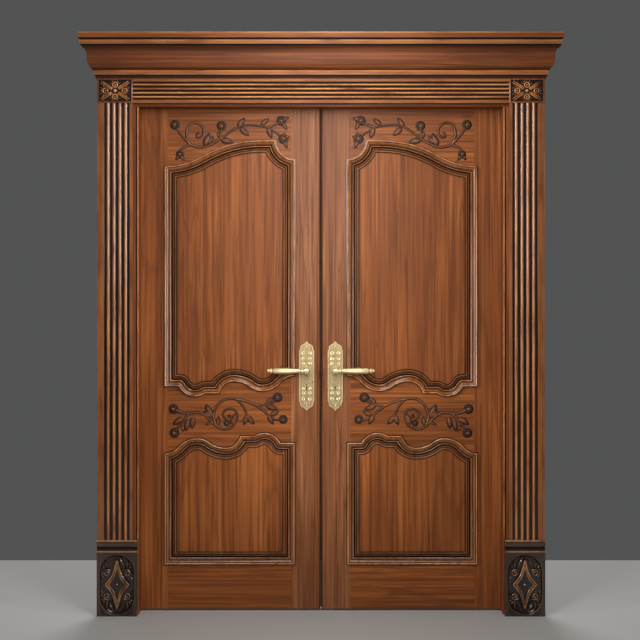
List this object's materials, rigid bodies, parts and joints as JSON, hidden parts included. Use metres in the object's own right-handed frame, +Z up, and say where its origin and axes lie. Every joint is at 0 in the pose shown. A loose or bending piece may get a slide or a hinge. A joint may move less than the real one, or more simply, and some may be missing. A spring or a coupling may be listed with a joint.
{
  "type": "carved double door",
  "caption": "Carved wooden double door in its frame, with shaped panel mouldings, vine carvings, reeded casings, plinth blocks, a cornice and brass lever handles.",
  "frame": {"origin": "on the floor, in the middle of the width and of the depth of the whole door set", "axes": "+X along the wall, +Y through the wall from the carved side to the plain side, +Z up"},
  "size_m": [1.982, 0.28, 2.395],
  "materials": {
    "leaf_wood": "satin varnish",
    "frame_wood": "satin varnish",
    "dark_wood": "gloss varnish",
    "glazed_wood": "satin varnish over a dark glaze",
    "brass": "antique satin",
    "steel": "plain"
  },
  "bodies": {
    "frame": {"head_jamb": "frame_wood", "head_architrave": "frame_wood", "cornice_front": "frame_wood", "back_head_casing": "frame_wood", "left_jamb": "frame_wood", "left_pilaster": "frame_wood", "left_corner_block": "dark_wood", "left_plinth_block": "dark_wood", "left_cornice_return": "frame_wood", "left_back_casing": "frame_wood", "left_hinge_jamb_halves": "brass", "right_jamb": "frame_wood", "right_pilaster": "frame_wood", "right_corner_block": "dark_wood", "right_plinth_block": "dark_wood", "right_cornice_return": "frame_wood", "right_back_casing": "frame_wood", "right_hinge_jamb_halves": "brass"},
    "left_leaf": {"left_hinge_stile": "leaf_wood", "left_meeting_stile": "leaf_wood", "left_top_rail": "leaf_wood", "left_lock_rail": "leaf_wood", "left_bottom_rail": "leaf_wood", "left_upper_panel": "leaf_wood", "left_lower_panel": "leaf_wood", "left_mouldings": "glazed_wood", "left_back_beads": "leaf_wood", "left_vines": "glazed_wood", "left_hinge_leaf_halves": "brass", "left_front_plate": "brass", "left_back_plate": "brass", "left_strike_plate": "brass"},
    "left_handle": {"left_front_lever": "brass", "left_back_lever": "brass", "left_spindle": "steel"},
    "right_leaf": {"right_hinge_stile": "leaf_wood", "right_meeting_stile": "leaf_wood", "right_top_rail": "leaf_wood", "right_lock_rail": "leaf_wood", "right_bottom_rail": "leaf_wood", "right_upper_panel": "leaf_wood", "right_lower_panel": "leaf_wood", "right_mouldings": "glazed_wood", "right_back_beads": "leaf_wood", "right_vines": "glazed_wood", "right_hinge_leaf_halves": "brass", "right_front_plate": "brass", "right_back_plate": "brass", "right_lock_case": "steel"},
    "right_handle": {"right_front_lever": "brass", "right_back_lever": "brass", "right_spindle": "steel"},
    "left_top_bolt": {"left_top_bolt": "steel"},
    "left_bottom_bolt": {"left_bottom_bolt": "steel"},
    "right_latch_bolt": {"right_latch_bolt": "steel"},
    "right_dead_bolt": {"right_dead_bolt": "steel"}
  },
  "joints": [
    {"name": "left_leaf_swing", "type": "hinge", "parent": "frame", "child": "left_leaf", "pos_m": [-0.7655, 0.084, 1.0615], "axis": [0, 0, 1], "range_deg": [0, 170]},
    {"name": "right_leaf_swing", "type": "hinge", "parent": "frame", "child": "right_leaf", "pos_m": [0.7655, 0.084, 1.0615], "axis": [0, 0, -1], "range_deg": [0, 170]},
    {"name": "left_handle_turn", "type": "hinge", "parent": "left_leaf", "child": "left_handle", "pos_m": [-0.06, 0.0535, 1.008], "axis": [0, -1, 0], "range_deg": [0, 40], "stiffness_Nm_per_rad": 1.2, "springref_deg": -40.11},
    {"name": "right_handle_turn", "type": "hinge", "parent": "right_leaf", "child": "right_handle", "pos_m": [0.06, 0.0535, 1.008], "axis": [0, 1, 0], "range_deg": [0, 40], "stiffness_Nm_per_rad": 1.2, "springref_deg": -40.11},
    {"name": "latch_draw", "type": "slide", "parent": "right_leaf", "child": "right_latch_bolt", "axis": [1, 0, 0], "range_m": [0, 0.012]},
    {"name": "dead_bolt_throw", "type": "slide", "parent": "right_leaf", "child": "right_dead_bolt", "axis": [-1, 0, 0], "range_m": [0, 0.02]},
    {"name": "top_bolt_throw", "type": "slide", "parent": "left_leaf", "child": "left_top_bolt", "axis": [0, 0, 1], "range_m": [0, 0.014]},
    {"name": "bottom_bolt_throw", "type": "slide", "parent": "left_leaf", "child": "left_bottom_bolt", "axis": [0, 0, -1], "range_m": [0, 0.008]}
  ],
  "couplings": [
    {"joint": "latch_draw", "follows": "right_handle_turn", "m_per_rad": 0.0171}
  ]
}
